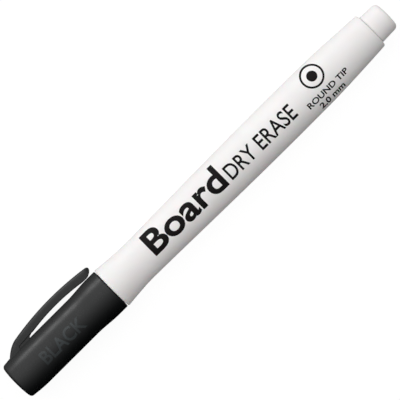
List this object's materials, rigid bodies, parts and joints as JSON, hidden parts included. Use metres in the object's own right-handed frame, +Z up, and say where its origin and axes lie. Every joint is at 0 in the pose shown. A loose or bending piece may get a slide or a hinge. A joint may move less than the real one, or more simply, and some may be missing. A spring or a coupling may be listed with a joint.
{
  "type": "whiteboard marker",
  "caption": "Slim capped dry-erase marker: white barrel with an end plug, pull-off black cap with a springy pocket clip and an inner sealing cup, bullet nib and fibre ink reservoir.",
  "frame": {"origin": "middle of the bounding box's bottom face, on the desk that the capped pen lies on", "axes": "+X along the pen from the cap's closed end to the tail, +Z up; the pen is rolled about X so that the clip points towards +Y and 30.3 degrees below level, with its lower long edge on the desk"},
  "size_m": [0.142, 0.016, 0.0133],
  "materials": {
    "barrel_plastic": "satin white, moulded polypropylene",
    "plug_plastic": "satin white, moulded polypropylene",
    "holder_plastic": "satin dark grey, moulded polypropylene",
    "nib_fibre": "ink-soaked pressed acrylic or polyester fibre",
    "reservoir_fibre": "ink-soaked bundled polyester fibre",
    "clear_film": "thin clear polypropylene wrap",
    "cap_plastic": "satin black, moulded polypropylene",
    "seal_plastic": "uncoloured soft polyethylene"
  },
  "bodies": {
    "root": {"barrel": "barrel_plastic", "tail_plug": "plug_plastic", "tip_holder": "holder_plastic", "nib": "nib_fibre", "ink_reservoir": "reservoir_fibre", "reservoir_film": "clear_film"},
    "cap": {"cap": "cap_plastic", "inner_cap": "seal_plastic"},
    "clip": {"clip": "cap_plastic"}
  },
  "joints": [
    {"name": "cap_pull", "type": "slide", "parent": "root", "child": "cap", "axis": [-1, 0, 0], "range_m": [0, 0.045]},
    {"name": "clip_flex", "type": "hinge", "parent": "cap", "child": "clip", "pos_m": [-0.0598, 0.00537, 0.00277], "axis": [0, 0.504, 0.8637], "range_deg": [0, 6], "stiffness_Nm_per_rad": 1.2}
  ]
}
